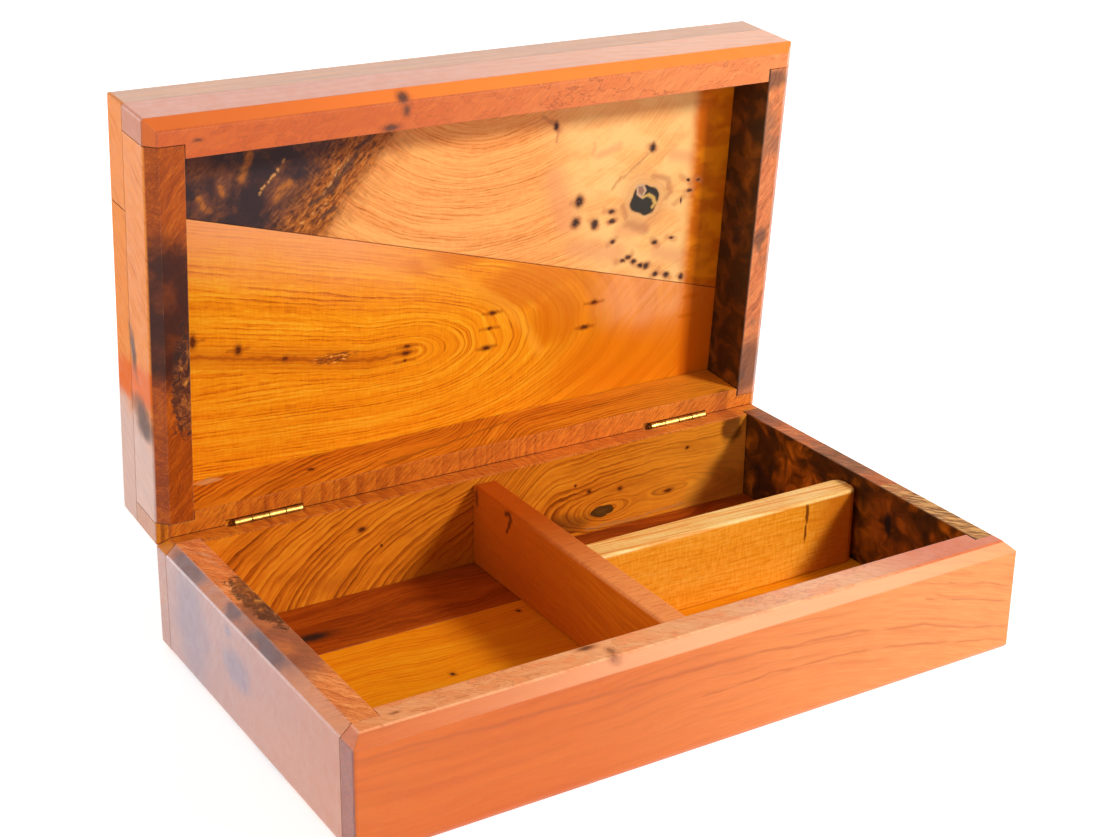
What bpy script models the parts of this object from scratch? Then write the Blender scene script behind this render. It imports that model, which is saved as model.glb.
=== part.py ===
"""A burl wood jewelry box: a tray of lapped boards, a lid sawn from them, and two brass butt hinges.

Lengths are in metres. X runs along the box, Y from its front to its back, and Z up from its
underside, whose centre is the origin. The lid stands open, resting on the bevel of its back edge.
Its pieces are laid out where they are when it is shut, and hang on one pivot that is turned by the
opening angle.
"""
import math

import bmesh
import bpy
from mathutils import Matrix, Vector

# The box, shut
LENGTH = 0.2500
WIDTH = 0.1495
BASE_HEIGHT = 0.0412
LID_HEIGHT = 0.0337
RIM_GAP = 0.0004

# The four boards of both frames
FRONT_THICKNESS = 0.0133
BACK_THICKNESS = 0.0117
LEFT_THICKNESS = 0.0125
RIGHT_THICKNESS = 0.0114
LAP_THICKNESS = 0.0086
GLUE_GAP = 0.0003

# Their outer edges
RIM_CHAMFER_DEPTH = 0.0040
RIM_CHAMFER_DROP = 0.0037
BOTTOM_ROUND = 0.0035
CORNER_ROUND = 0.0012
LID_TOP_ROUND = 0.0012
LID_BACK_ROUND = 0.0040
ROUND_STEPS = 4

# The floor, of two boards
FLOOR_THICKNESS = 0.0075
FLOOR_BACK_WIDTH = 0.0335

# The top of the lid, of two boards with a slanted joint
PANEL_THICKNESS = 0.0132
PANEL_FRONT_WIDTH_LEFT = 0.0355
PANEL_FRONT_WIDTH_RIGHT = 0.1055

# The divider from front to back
CROSS_THICKNESS = 0.0091
CROSS_FROM_LEFT = 0.1033
CROSS_BELOW_RIM = 0.0023

# The divider from there to near the right board
SIDE_THICKNESS = 0.0115
SIDE_FROM_BACK = 0.0574
SIDE_BELOW_RIM = 0.0046
SIDE_END_GAP = 0.0005
SIDE_END_ROUND = 0.0045
DIVIDER_EDGE_ROUND = 0.0012

# The hinges
HINGE_LENGTH = 0.0252
HINGE_FROM_END = 0.0268
KNUCKLES = 4
KNUCKLE_GAP = 0.0003
PIN_RADIUS = 0.0005
PIN_END_BEVEL = 0.0001
PIN_PLAY = 0.0003
LEAF_THICKNESS = 0.0006
LEAF_WIDTH = 0.0080
LEAF_PLAY = 0.0003
RECESS_RUNOUT_LEFT = 0.0030
RECESS_RUNOUT_RIGHT = 0.0006
ROLL_STEPS = 24
ROLL_END_DEGREES = -112

CUT_TOLERANCE = 0.0000001
SMOOTH_DEGREES = 30

# Places that follow from the sizes
FRONT, BACK = -WIDTH / 2, WIDTH / 2
LEFT, RIGHT = -LENGTH / 2, LENGTH / 2
INNER_FRONT = FRONT + FRONT_THICKNESS
INNER_BACK = BACK - BACK_THICKNESS
INNER_LEFT = LEFT + LEFT_THICKNESS
INNER_RIGHT = RIGHT - RIGHT_THICKNESS
LID_RIM = BASE_HEIGHT + RIM_GAP
LID_TOP = LID_RIM + LID_HEIGHT
PANEL_UNDERSIDE = LID_TOP - PANEL_THICKNESS
FLOOR_JOINT = INNER_BACK - GLUE_GAP - FLOOR_BACK_WIDTH
KNUCKLE_BORE = PIN_RADIUS + PIN_PLAY
KNUCKLE_RADIUS = KNUCKLE_BORE + LEAF_THICKNESS
KNUCKLE_PITCH = HINGE_LENGTH / KNUCKLES
RECESS_RADIUS = KNUCKLE_RADIUS + LEAF_PLAY

# The hinge axis runs along the inner edges of the two back chamfers, and the lid opens until they meet
AXIS = Vector((0, BACK - RIM_CHAMFER_DEPTH, BASE_HEIGHT + RIM_GAP / 2))
OPEN_ANGLE = 2 * math.atan2(RIM_CHAMFER_DROP, RIM_CHAMFER_DEPTH)

# Colours as red, green and blue, then roughness and metallic
FINISHES = {
    "front_wood": ((0.60, 0.20, 0.06), 0.35, 0.0),
    "back_wood": ((0.50, 0.18, 0.04), 0.35, 0.0),
    "left_wood": ((0.38, 0.14, 0.07), 0.35, 0.0),
    "right_wood": ((0.12, 0.035, 0.012), 0.35, 0.0),
    "bright_wood": ((0.75, 0.28, 0.03), 0.30, 0.0),
    "burl_wood": ((0.55, 0.24, 0.08), 0.30, 0.0),
    "dark_floor_wood": ((0.28, 0.07, 0.01), 0.35, 0.0),
    "red_divider_wood": ((0.32, 0.08, 0.01), 0.35, 0.0),
    "golden_divider_wood": ((0.62, 0.26, 0.05), 0.35, 0.0),
    "brass": ((0.80, 0.58, 0.22), 0.25, 1.0),
}


def clear_scene():
    for item in list(bpy.data.objects):
        bpy.data.objects.remove(item, do_unlink=True)


def finish(name):
    """The material of that name, made the first time it is asked for."""
    found = bpy.data.materials.get(name)
    if found:
        return found
    colour, roughness, metallic = FINISHES[name]
    made = bpy.data.materials.new(name)
    made.use_nodes = True
    shader = made.node_tree.nodes["Principled BSDF"]
    shader.inputs["Base Color"].default_value = (*colour, 1.0)
    shader.inputs["Roughness"].default_value = roughness
    shader.inputs["Metallic"].default_value = metallic
    made.diffuse_color = (*colour, 1.0)
    return made


def add_object(name, mesh, origin, finish_name, pivot=None):
    """Turn a bmesh, laid out in the shut box, into an object with its origin at that place."""
    mesh.transform(Matrix.Translation(-origin))
    bmesh.ops.recalc_face_normals(mesh, faces=mesh.faces)
    data = bpy.data.meshes.new(name)
    mesh.to_mesh(data)
    mesh.free()
    made = bpy.data.objects.new(name, data)
    made.location = origin
    if pivot:
        made.parent = pivot
        made.location = origin - AXIS
    if finish_name:
        data.materials.append(finish(finish_name))
    bpy.context.collection.objects.link(made)
    return made


def make_cutter(name, mesh, origin, pivot=None):
    """A shape that only cuts others."""
    made = add_object(name, mesh, origin, None, pivot)
    made.display_type = "WIRE"
    made.hide_render = True
    return made


def cut_with(piece, cutter):
    cut = piece.modifiers.new(cutter.name, "BOOLEAN")
    cut.operation = "DIFFERENCE"
    cut.solver = "EXACT"
    cut.object = cutter


def extruded(points, sweep):
    """A bmesh of a flat outline, given as points in order, swept along a vector."""
    mesh = bmesh.new()
    face = mesh.faces.new([mesh.verts.new(point) for point in points])
    swept = bmesh.ops.extrude_face_region(mesh, geom=[face])
    moved = [item for item in swept["geom"] if isinstance(item, bmesh.types.BMVert)]
    bmesh.ops.translate(mesh, verts=moved, vec=sweep)
    return mesh


def cut_away(mesh, planes):
    """Cut off all that lies beyond each plane, given as a point and a normal, and close the cuts."""
    for point, normal in planes:
        everything = mesh.verts[:] + mesh.edges[:] + mesh.faces[:]
        cut = bmesh.ops.bisect_plane(
            mesh, geom=everything, dist=CUT_TOLERANCE, plane_co=point, plane_no=normal, clear_outer=True
        )
        rim = [item for item in cut["geom_cut"] if isinstance(item, bmesh.types.BMEdge) and item.is_boundary]
        if rim:
            bmesh.ops.contextual_create(mesh, geom=rim)
    return mesh


def arc(radius, first_degrees, last_degrees, steps):
    """Points on an arc about zero, as pairs."""
    points = []
    for step in range(steps + 1):
        angle = math.radians(first_degrees + (last_degrees - first_degrees) * step / steps)
        points.append((radius * math.cos(angle), radius * math.sin(angle)))
    return points


def round_planes(corner, first, second, radius):
    """Planes that round the edge through a corner, between the faces that look along two directions."""
    first, second = Vector(first), Vector(second)
    centre = Vector(corner) - (first + second) * radius
    planes = []
    for step in range(1, ROUND_STEPS + 1):
        angle = math.pi / 2 * step / (ROUND_STEPS + 1)
        normal = first * math.cos(angle) + second * math.sin(angle)
        planes.append((centre + normal * radius, normal))
    return planes


def rim_planes(height, facing):
    """The flat chamfer round a rim, which faces up (1) or down (-1)."""
    planes = []
    for side in (-1, 1):
        end = Vector((side * (RIGHT - RIM_CHAMFER_DEPTH), 0, height))
        planes.append((end, Vector((side * RIM_CHAMFER_DROP, 0, facing * RIM_CHAMFER_DEPTH))))
        long_edge = Vector((0, side * (BACK - RIM_CHAMFER_DEPTH), height))
        planes.append((long_edge, Vector((0, side * RIM_CHAMFER_DROP, facing * RIM_CHAMFER_DEPTH))))
    return planes


def upright_planes():
    """The slight rounding of the four upright corners."""
    planes = []
    for x_side in (-1, 1):
        for y_side in (-1, 1):
            corner = (x_side * RIGHT, y_side * BACK, 0)
            planes += round_planes(corner, (x_side, 0, 0), (0, y_side, 0), CORNER_ROUND)
    return planes


def level_planes(height, facing, front_round, end_round, back_round):
    """The rounding round the box's underside (facing -1) or top (facing 1)."""
    vertical = (0, 0, facing)
    planes = round_planes((0, FRONT, height), (0, -1, 0), vertical, front_round)
    planes += round_planes((0, BACK, height), (0, 1, 0), vertical, back_round)
    for side in (-1, 1):
        planes += round_planes((side * RIGHT, 0, height), (side, 0, 0), vertical, end_round)
    return planes


def lapped_plan(side, thickness):
    """Plan of the front (-1) or back (1) board, whose thinner ends lap over the ends of the side boards."""
    outer = side * BACK
    lap = side * (BACK - LAP_THICKNESS)
    inner = side * (BACK - thickness)
    left_shoulder = INNER_LEFT + GLUE_GAP
    right_shoulder = INNER_RIGHT - GLUE_GAP
    return [
        (LEFT, outer),
        (LEFT, lap),
        (left_shoulder, lap),
        (left_shoulder, inner),
        (right_shoulder, inner),
        (right_shoulder, lap),
        (RIGHT, lap),
        (RIGHT, outer),
    ]


def side_plan(outer, inner):
    """Plan of a side board, whose ends stop behind the laps of the front and back boards."""
    end = BACK - LAP_THICKNESS - GLUE_GAP
    return [(outer, -end), (inner, -end), (inner, end), (outer, end)]


def board(name, plan, low, high, planes, finish_name, pivot=None):
    """A board of the given plan between two heights, with its outer edges cut."""
    mesh = extruded([(x, y, low) for x, y in plan], Vector((0, 0, high - low)))
    cut_away(mesh, planes)
    middle = sum((Vector((x, y, low)) for x, y in plan), Vector()) / len(plan)
    return add_object(name, mesh, middle, finish_name, pivot)


def make_frame(prefix, low, high, planes, pivot=None):
    """The four boards of the base or of the lid, alike because they are sawn from the same boards."""
    front_plan = lapped_plan(-1, FRONT_THICKNESS)
    board(prefix + "_front_board", front_plan, low, high, planes, "front_wood", pivot)
    left_plan = side_plan(LEFT, INNER_LEFT)
    board(prefix + "_left_board", left_plan, low, high, planes, "left_wood", pivot)
    right_plan = side_plan(RIGHT, INNER_RIGHT)
    board(prefix + "_right_board", right_plan, low, high, planes, "right_wood", pivot)
    back_plan = lapped_plan(1, BACK_THICKNESS)
    return board(prefix + "_back_board", back_plan, low, high, planes, "back_wood", pivot)


def make_base():
    """The base's four boards; returns the back one, which the hinges are let into."""
    planes = rim_planes(BASE_HEIGHT, 1) + upright_planes()
    planes += level_planes(0, -1, BOTTOM_ROUND, BOTTOM_ROUND, BOTTOM_ROUND)
    return make_frame("base", 0, BASE_HEIGHT, planes)


def make_floor():
    """Two floor boards, set between the base's boards and flush with their undersides."""
    left, right = INNER_LEFT + GLUE_GAP, INNER_RIGHT - GLUE_GAP
    front, back = INNER_FRONT + GLUE_GAP, INNER_BACK - GLUE_GAP
    joint = FLOOR_JOINT - GLUE_GAP
    front_plan = [(left, front), (right, front), (right, joint), (left, joint)]
    back_plan = [(left, FLOOR_JOINT), (right, FLOOR_JOINT), (right, back), (left, back)]
    board("floor_front_board", front_plan, 0, FLOOR_THICKNESS, [], "bright_wood")
    board("floor_back_board", back_plan, 0, FLOOR_THICKNESS, [], "dark_floor_wood")


def top_planes(low, high):
    """The slight rounding of the four edges round a divider's top."""
    planes = []
    for side, (x, y, _) in ((-1, low), (1, high)):
        planes += round_planes((x, 0, high[2]), (side, 0, 0), (0, 0, 1), DIVIDER_EDGE_ROUND)
        planes += round_planes((0, y, high[2]), (0, side, 0), (0, 0, 1), DIVIDER_EDGE_ROUND)
    return planes


def divider(name, low, high, planes, finish_name):
    """A divider between its lowest and highest corners, with its edges rounded."""
    plan = [(low[0], low[1]), (high[0], low[1]), (high[0], high[1]), (low[0], high[1])]
    board(name, plan, low[2], high[2], top_planes(low, high) + planes, finish_name)


def make_dividers():
    """The divider that runs from front to back, and the one from it towards the right board."""
    bottom = FLOOR_THICKNESS + GLUE_GAP
    left = INNER_LEFT + CROSS_FROM_LEFT
    low = (left, INNER_FRONT + GLUE_GAP, bottom)
    high = (left + CROSS_THICKNESS, INNER_BACK - GLUE_GAP, BASE_HEIGHT - CROSS_BELOW_RIM)
    divider("cross_divider", low, high, [], "red_divider_wood")

    back = INNER_BACK - SIDE_FROM_BACK
    low = (left + CROSS_THICKNESS + GLUE_GAP, back - SIDE_THICKNESS, bottom)
    high = (INNER_RIGHT - SIDE_END_GAP, back, BASE_HEIGHT - SIDE_BELOW_RIM)
    end_planes = []
    for side, place in ((-1, low[1]), (1, high[1])):
        for point, normal in round_planes((high[0], place, high[2]), (1, 0, 0), (0, side, 0), SIDE_END_ROUND):
            end_planes.append((point, normal))
            end_planes += round_planes(point, normal, (0, 0, 1), DIVIDER_EDGE_ROUND)
    divider("side_divider", low, high, end_planes, "golden_divider_wood")


def make_lid(pivot):
    """The lid's four boards and its top of two boards; returns the back board."""
    planes = rim_planes(LID_RIM, -1) + upright_planes()
    back_board = make_frame("lid", LID_RIM, PANEL_UNDERSIDE - GLUE_GAP, planes, pivot)

    joint_left = FRONT + PANEL_FRONT_WIDTH_LEFT
    joint_right = FRONT + PANEL_FRONT_WIDTH_RIGHT
    gap = GLUE_GAP / math.cos(math.atan2(joint_right - joint_left, LENGTH))
    front_plan = [(LEFT, FRONT), (RIGHT, FRONT), (RIGHT, joint_right), (LEFT, joint_left)]
    back_plan = [(LEFT, joint_left + gap), (RIGHT, joint_right + gap), (RIGHT, BACK), (LEFT, BACK)]
    planes = upright_planes() + level_planes(LID_TOP, 1, LID_TOP_ROUND, LID_TOP_ROUND, LID_BACK_ROUND)
    board("lid_panel_front_board", front_plan, PANEL_UNDERSIDE, LID_TOP, planes, "burl_wood", pivot)
    board("lid_panel_back_board", back_plan, PANEL_UNDERSIDE, LID_TOP, planes, "bright_wood", pivot)
    return back_board


def leaf_section(upward):
    """Section of a hinge leaf about the axis, in Y and Z: a strip whose end is rolled round the pin."""
    roll = arc(KNUCKLE_RADIUS, 180, ROLL_END_DEGREES, ROLL_STEPS)
    bore = arc(KNUCKLE_BORE, ROLL_END_DEGREES, 180, ROLL_STEPS)
    points = [(-KNUCKLE_RADIUS, -LEAF_WIDTH)] + roll + bore + [(-KNUCKLE_BORE, -LEAF_WIDTH)]
    return [(y, -upward * z) for y, z in points]


def recess_section(upward):
    """Section of the recess in a back board: a saw slot for the leaf below a channel round the knuckles."""
    slot_outer = -KNUCKLE_RADIUS - LEAF_PLAY
    slot_inner = -KNUCKLE_BORE + LEAF_PLAY
    slot_end = -LEAF_WIDTH - LEAF_PLAY
    meeting = math.degrees(math.acos(slot_inner / RECESS_RADIUS))
    channel = arc(RECESS_RADIUS, -meeting, 180, ROLL_STEPS)
    points = channel + [(slot_outer, slot_end), (slot_inner, slot_end)]
    return [(y, -upward * z) for y, z in points]


def along_axis(section, start, end):
    """A bmesh of a section about the hinge axis, from one X to another."""
    points = [AXIS + Vector((start, y, z)) for y, z in section]
    return extruded(points, Vector((end - start, 0, 0)))


def knuckle_room(first, start, upward):
    """The room that one leaf leaves for the other's knuckles, from number first in steps of two."""
    room = bmesh.new()
    reach = KNUCKLE_RADIUS + LEAF_PLAY
    for number in range(first, KNUCKLES, 2):
        low = start + number * KNUCKLE_PITCH - (KNUCKLE_GAP / 2 if number else reach)
        high = start + (number + 1) * KNUCKLE_PITCH + (KNUCKLE_GAP / 2 if number + 1 < KNUCKLES else reach)
        block = bmesh.ops.create_cube(room, size=2 * reach)["verts"]
        bmesh.ops.scale(room, verts=block, vec=((high - low) / (2 * reach), 1, 1))
        bmesh.ops.translate(room, verts=block, vec=AXIS + Vector(((low + high) / 2, 0, 0)))
    return room


def make_leaf(name, start, own, upward, pivot=None):
    """A hinge leaf with every other knuckle, from number own; upward is 1 for the lid's, else -1."""
    middle = AXIS + Vector((start + HINGE_LENGTH / 2, 0, 0))
    mesh = along_axis(leaf_section(upward), start, start + HINGE_LENGTH)
    leaf = add_object(name, mesh, middle, "brass", pivot)
    cut_with(leaf, make_cutter(name + "_room", knuckle_room(1 - own, start, upward), middle, pivot))


def make_pin(name, start):
    """The hinge pin, with slightly bevelled ends."""
    middle = AXIS + Vector((start + HINGE_LENGTH / 2, 0, 0))
    section = arc(PIN_RADIUS, 0, 360, ROLL_STEPS)[:-1]
    mesh = along_axis(section, start, start + HINGE_LENGTH)
    ends = [edge for edge in mesh.edges if edge.verts[0].co.x == edge.verts[1].co.x]
    bmesh.ops.bevel(mesh, geom=ends, offset=PIN_END_BEVEL, segments=1, affect="EDGES")
    add_object(name, mesh, middle, "brass")


def make_hinge(name, start, base_back, lid_back, pivot):
    """A butt hinge, its leaves in the back boards' saw slots and its knuckles on the joint between them."""
    for board_object, holder, upward in ((base_back, None, -1), (lid_back, pivot, 1)):
        recess = along_axis(
            recess_section(upward), start - RECESS_RUNOUT_LEFT, start + HINGE_LENGTH + RECESS_RUNOUT_RIGHT
        )
        cutter_name = board_object.name + "_" + name + "_recess"
        cut_with(board_object, make_cutter(cutter_name, recess, AXIS + Vector((start, 0, 0)), holder))
    make_leaf(name + "_base_leaf", start, 1, -1)
    make_leaf(name + "_lid_leaf", start, 0, 1, pivot)
    make_pin(name + "_pin", start)


def smooth_brass():
    """Shade the rolled and turned brass smooth."""
    for item in bpy.data.objects:
        if item.type == "MESH" and item.data.materials and item.data.materials[0].name == "brass":
            item.data.shade_smooth()
            item.data.set_sharp_from_angle(angle=math.radians(SMOOTH_DEGREES))


def make_box():
    clear_scene()
    pivot = bpy.data.objects.new("lid_pivot", None)
    pivot.location = AXIS
    pivot.rotation_euler.x = -OPEN_ANGLE
    bpy.context.collection.objects.link(pivot)
    base_back = make_base()
    make_floor()
    make_dividers()
    lid_back = make_lid(pivot)
    make_hinge("left_hinge", LEFT + HINGE_FROM_END, base_back, lid_back, pivot)
    make_hinge("right_hinge", RIGHT - HINGE_FROM_END - HINGE_LENGTH, base_back, lid_back, pivot)
    smooth_brass()


make_box()
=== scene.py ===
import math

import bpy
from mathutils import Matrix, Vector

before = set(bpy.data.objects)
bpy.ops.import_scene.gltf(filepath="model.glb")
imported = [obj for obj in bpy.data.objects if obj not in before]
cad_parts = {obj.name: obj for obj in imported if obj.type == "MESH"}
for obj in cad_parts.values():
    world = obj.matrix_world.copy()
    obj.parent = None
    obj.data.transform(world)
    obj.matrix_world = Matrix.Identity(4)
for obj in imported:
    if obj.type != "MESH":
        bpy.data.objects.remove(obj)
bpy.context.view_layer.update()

# Burl wood jewelry box, open, on a white table in soft light.
# The box's boards and hinges are the CAD nodes; this file gives them their wood and brass,
# and makes the table, the light and the camera.
# Wood figures are laid out in millimetres on the shut box, so that they run on from the
# base's boards into the lid's, which were sawn from the same planks.

MM = 0.001
HINGE_LINE = (0.0, 0.07075, 0.0414)     # a point of the hinge axis, in metres
LID_OPEN = math.radians(85.5376)        # the lid's turn from shut, as it stands open

# Places on the shut box, in millimetres.
RIM = 41.4              # height at which the base and the lid meet
CUT_END = 124.55        # the front and back boards' cut ends lie beyond this, left and right
LEFT_FACE = -124.2      # the left boards' outer face lies beyond this
TOP_LEFT = -123.4       # and the left edge of the lid's top beyond this


# ---------------------------------------------------------------- nodes as arithmetic

class Num:
    """A number, vector or colour worked out by a material's nodes."""

    def __init__(self, sheet, socket):
        self.sheet = sheet
        self.socket = socket

    def __add__(self, other):
        return self.sheet.math("ADD", self, other)

    def __sub__(self, other):
        return self.sheet.math("SUBTRACT", self, other)

    def __rsub__(self, other):
        return self.sheet.math("SUBTRACT", other, self)

    def __mul__(self, other):
        return self.sheet.math("MULTIPLY", self, other)

    def __truediv__(self, other):
        return self.sheet.math("DIVIDE", self, other)

    __radd__ = __add__
    __rmul__ = __mul__


class Sheet:
    """One material, and the nodes that work out its look.

    x, y and z are the place on the shut box in millimetres. lid is 1.0 for a piece of
    the lid and 0.0 for a piece of the base, and base is the other way round.
    """

    def __init__(self, name, lid=False):
        self.material = bpy.data.materials.new(name)
        self.material.use_nodes = True
        self.tree = self.material.node_tree
        self.tree.nodes.clear()
        place = Num(self, self.node("TexCoord").outputs["Object"])
        if lid:
            shut = self.node("VectorRotate", rotation_type="X_AXIS")
            self.feed(shut.inputs["Vector"], place)
            shut.inputs["Center"].default_value = HINGE_LINE
            shut.inputs["Angle"].default_value = LID_OPEN
            place = Num(self, shut.outputs[0])
        grown = self.node("VectorMath", operation="SCALE")
        self.feed(grown.inputs[0], place)
        grown.inputs["Scale"].default_value = 1.0 / MM
        self.place = Num(self, grown.outputs["Vector"])
        self.x, self.y, self.z = self.parts(self.place)
        self.lid = float(lid)
        self.base = 1.0 - self.lid

    def node(self, kind, **settings):
        made = self.tree.nodes.new("ShaderNode" + kind)
        for name, value in settings.items():
            setattr(made, name, value)
        return made

    def feed(self, socket, value):
        """Links a node's number to the socket, or sets the socket's own value."""
        if isinstance(value, Num):
            self.tree.links.new(value.socket, socket)
        elif socket.type == "RGBA":
            socket.default_value = (*value, 1.0)
        else:
            socket.default_value = value

    def fed(self, kind, values, output=0, **settings):
        """What a new node gives out when these values are fed to it."""
        made = self.node(kind, **settings)
        for key, value in values.items():
            self.feed(made.inputs[key], value)
        return Num(self, made.outputs[output])

    def math(self, operation, *values):
        return self.fed("Math", dict(enumerate(values)), operation=operation)

    def vector(self, operation, *values, output=0):
        return self.fed("VectorMath", dict(enumerate(values)), output, operation=operation)

    def parts(self, value, kind="SeparateXYZ"):
        """The three numbers that a vector, or a colour, is made of."""
        split = self.node(kind)
        self.feed(split.inputs[0], value)
        return [Num(self, socket) for socket in split.outputs]

    def at(self, x, y, z=0.0):
        return self.fed("CombineXYZ", {0: x, 1: y, 2: z})

    def step(self, value, low, high, start=0.0, end=1.0):
        """From start to end, smoothly, as value goes from low to high.

        It holds at both ends by itself, and Cycles would make two nodes of a clamped one.
        """
        values = {0: value, 1: low, 2: high, 3: start, 4: end}
        return self.fed("MapRange", values, interpolation_type="SMOOTHSTEP", clamp=False)

    def noise(self, place, size=1.0, detail=2.0, rough=0.5, twist=0.0):
        """Soft noise round a half, whose lumps are about size millimetres."""
        values = {"Vector": place, "Scale": 1.0 / size, "Detail": detail,
                  "Roughness": rough, "Distortion": twist}
        return self.fed("TexNoise", values)

    def shaken(self, place, size, reach, detail=2.0):
        """The place pushed about by noise, up to about reach millimetres."""
        values = {"Vector": place, "Scale": 1.0 / size, "Detail": detail}
        cloud = self.fed("TexNoise", values, "Color")
        push = self.at(*self.parts(cloud, "SeparateColor"))
        push = self.vector("SUBTRACT", push, (0.5, 0.5, 0.5))
        return self.vector("MULTIPLY_ADD", push, (reach * 2.0,) * 3, place)

    def away(self, place, centre, radii):
        """Distance from the centre: 1 at the edge of the oval with these radii.

        With two radii the place's third measure doesn't count.
        """
        grow = [1.0 / radius for radius in radii] + [0.0]
        back = [-middle / radius for middle, radius in zip(centre, radii)] + [0.0]
        moved = self.vector("MULTIPLY_ADD", place, tuple(grow[:3]), tuple(back[:3]))
        return self.vector("LENGTH", moved, output="Value")

    def line(self, place, start, end):
        """Distance in millimetres from the straight line between two points."""
        start, end = Vector((*start, 0.0)), Vector((*end, 0.0))
        run = end - start
        off = self.vector("SUBTRACT", place, tuple(start))
        share = tuple(run / run.length_squared)
        part = self.vector("DOT_PRODUCT", off, share, output="Value")
        part = self.math("MINIMUM", self.math("MAXIMUM", part, 0.0), 1.0)
        along = self.fed("VectorMath", {0: tuple(run), "Scale": part}, operation="SCALE")
        return self.vector("LENGTH", self.vector("SUBTRACT", off, along), output="Value")

    def nearest(self, place, ovals):
        """Distance from the nearest of the ovals: 1 at its edge."""
        least = None
        for oval in ovals:
            half = len(oval) // 2
            gone = self.away(place, oval[:half], oval[half:])
            least = gone if least is None else self.math("MINIMUM", least, gone)
        return least

    def ramp(self, value, stops):
        """Colours laid along a number, from (place, colour) stops."""
        low, high = stops[0][0], stops[-1][0]
        made = self.node("ValToRGB")
        self.feed(made.inputs[0], (value - low) / (high - low))
        elements = made.color_ramp.elements
        while len(elements) < len(stops):
            elements.new(0.5)
        for element, (place, colour) in zip(elements, stops):
            element.position = (place - low) / (high - low)
            element.color = (*colour, 1.0)
        return Num(self, made.outputs[0])

    def mix(self, share, first, second, blend="MIX"):
        values = {0: share, 6: first, 7: second}
        return self.fed("Mix", values, 2, data_type="RGBA", blend_type=blend)

    def rings(self, g, pitch, sharp=0.8):
        """Dark late-wood lines, one each pitch of g: slowly darker, then pale at once."""
        turn = self.math("FRACT", g / pitch)
        rise = self.step(turn, 1.0 - sharp, 0.93)
        fall = self.step(turn, 1.0, 0.94)
        return rise * fall

    def finish(self, colour, height, rough=0.42, coat=0.6, coat_rough=0.2, coat_ior=1.5,
               shine=0.5, worn=0.35, glazed=None, metal=0.0):
        """Closes the material: varnished, its softened edges worn a little paler.

        With glazed, the varnish is thick only beyond that x, on the board's outer face.
        """
        shader = self.node("BsdfPrincipled")
        edge = self.node("Bevel", samples=4)
        edge.inputs["Radius"].default_value = 0.4 * MM
        flat = Num(self, self.node("NewGeometry").outputs["Normal"])
        bend = self.vector("DOT_PRODUCT", Num(self, edge.outputs[0]), flat, output="Value")
        rubbed = self.step(self.noise(self.place, 9.0, 3.0), 0.38, 0.62, 0.2, 1.0)
        bare = self.step(bend, 0.99, 0.80, 0.0, worn) * rubbed
        colour = self.mix(bare, colour, (0.95, 0.50, 0.26))
        bump = self.node("Bump")
        bump.inputs["Distance"].default_value = MM
        self.feed(bump.inputs["Height"], height)
        self.tree.links.new(edge.outputs[0], bump.inputs["Normal"])
        self.tree.links.new(bump.outputs[0], shader.inputs["Normal"])
        self.feed(shader.inputs["Base Color"], colour)
        uneven = self.noise(self.shaken(self.place, 8.0, 3.0), 5.0, 4.0, 0.6)
        uneven = self.step(uneven, 0.3, 0.7, rough - 0.06, rough + 0.10)
        self.feed(shader.inputs["Roughness"], uneven)
        shader.inputs["Metallic"].default_value = metal
        shader.inputs["Specular IOR Level"].default_value = shine
        if glazed is not None:
            coat = self.step(self.x, glazed, glazed - 0.5, 0.05, coat)
        self.feed(shader.inputs["Coat Weight"], coat)
        shader.inputs["Coat Roughness"].default_value = coat_rough
        shader.inputs["Coat IOR"].default_value = coat_ior
        out = self.node("OutputMaterial")
        self.tree.links.new(shader.outputs[0], out.inputs["Surface"])
        return self.material


# ---------------------------------------------------------------- the woods

HONEY = (0.93, 0.31, 0.005)
AMBER = (0.82, 0.22, 0.003)
TAWNY = (0.50, 0.11, 0.006)
RUSSET = (0.30, 0.052, 0.004)
UMBER = (0.10, 0.022, 0.004)
INK = (0.020, 0.011, 0.009)
GILT = (0.55, 0.22, 0.03)
# Greyish pink of a painted reflection veil.
PAINTED_VEIL_TONE = (0.50, 0.33, 0.34)


def grain(s, g, along, tones, pitch, lines=0.7, band=0.5, fleck=0.4, wide=14.0,
          depth=None, ripple=0.0):
    """Growth rings about one pitch of g apart, with bands, fibres and ripples.

    The tones are the wood's colours, from its palest to its late-wood lines.
    """
    depth = s.y if depth is None else depth
    g = g + (s.noise(s.at(g / 2.5, along / 5.0, 9.0)) - 0.5) * (pitch * 0.45)
    broad = s.noise(s.at(g / wide, along / 120.0), 1.0, 3.0)
    sway = s.noise(s.at(g / (pitch * 2.5), along / 50.0, 3.0), 1.0, 3.0)
    ring = s.rings(g + sway * (pitch * 2.4), pitch)
    streak = s.noise(s.at(g * 1.1, along / 26.0, depth / 6.0), 1.0, 4.0, 0.7)
    fibre = s.noise(s.at(g * 3.0, along / 5.0, depth), 1.0, 4.0, 0.75)
    fade = s.step(s.noise(s.at(g / pitch * 0.6, along / 45.0, 5.0)), 0.3, 0.62)
    share = (broad - 0.5) * (band * 2.2) + (streak - 0.5) * (fleck * 2.6)
    share = share + (fibre - 0.5) * (fleck * 2.8) + ring * fade * lines + 0.3
    if ripple:
        curl = s.noise(s.at(g / 4.0, along / 0.9, 7.0), 1.0, 2.0)
        share = share + (curl - 0.5) * ripple
    colour = s.ramp(share, tones)
    height = (fibre + streak) * 0.03 - ring * 0.012
    return colour, height


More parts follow.
